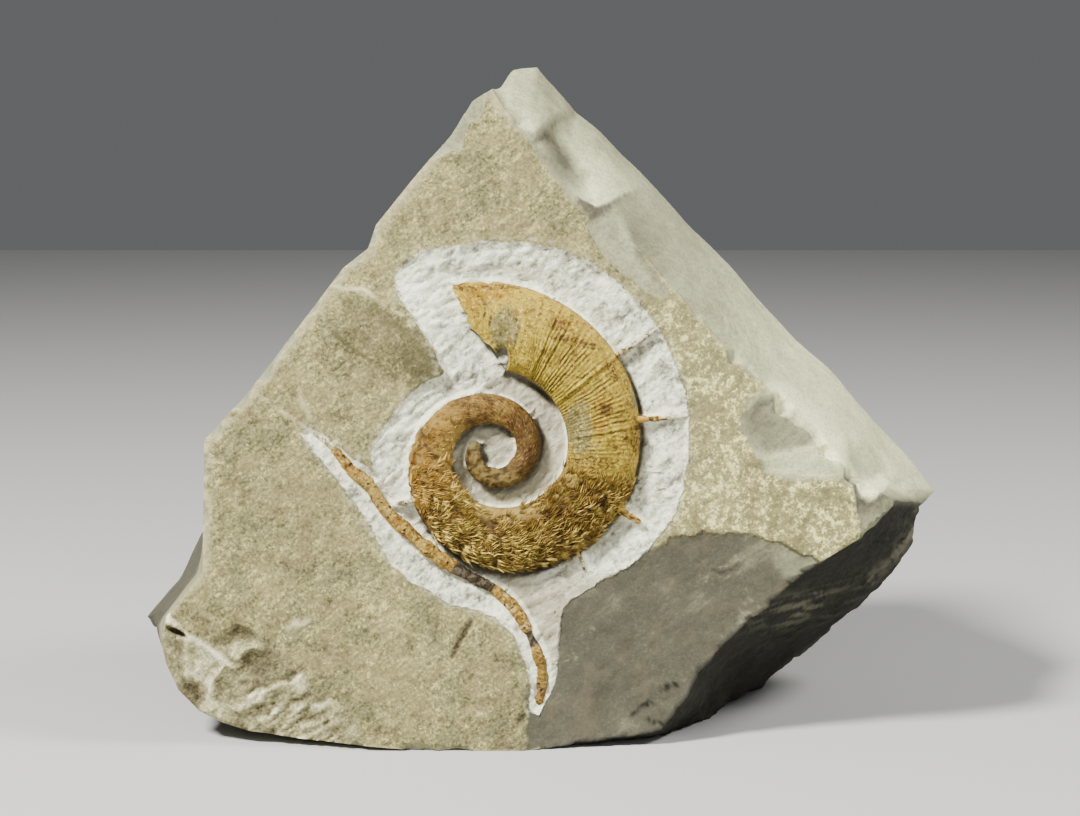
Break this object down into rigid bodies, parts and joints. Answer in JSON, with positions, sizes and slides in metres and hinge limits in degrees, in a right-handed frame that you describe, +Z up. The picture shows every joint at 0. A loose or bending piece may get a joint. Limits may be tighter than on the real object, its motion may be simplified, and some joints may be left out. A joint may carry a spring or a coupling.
{
  "type": "uncoiled ammonite fossil in a marlstone block",
  "caption": "Open-coiled ribbed and spined ammonite shell in relief with a slender curved shell, on a broken marlstone block that stands on its flat lower break.",
  "frame": {"origin": "middle of the flat base that the block stands on", "axes": "+Z up, +X to the right as seen from the fossil's side, -Y out of the fossil face"},
  "size_m": [0.2062, 0.0883, 0.1643],
  "materials": {
    "marlstone": "weathered olive-tan bedding face, pale grey where it is freshly broken or prepared, matte",
    "ochre_shell": "ochre and golden-brown replaced shell, satin to matte",
    "rusty_shell": "orange-brown replaced shell, matte"
  },
  "bodies": {
    "root": {"matrix_block": "marlstone", "ammonite_shell": "ochre_shell", "slender_shell": "rusty_shell"}
  },
  "joints": []
}
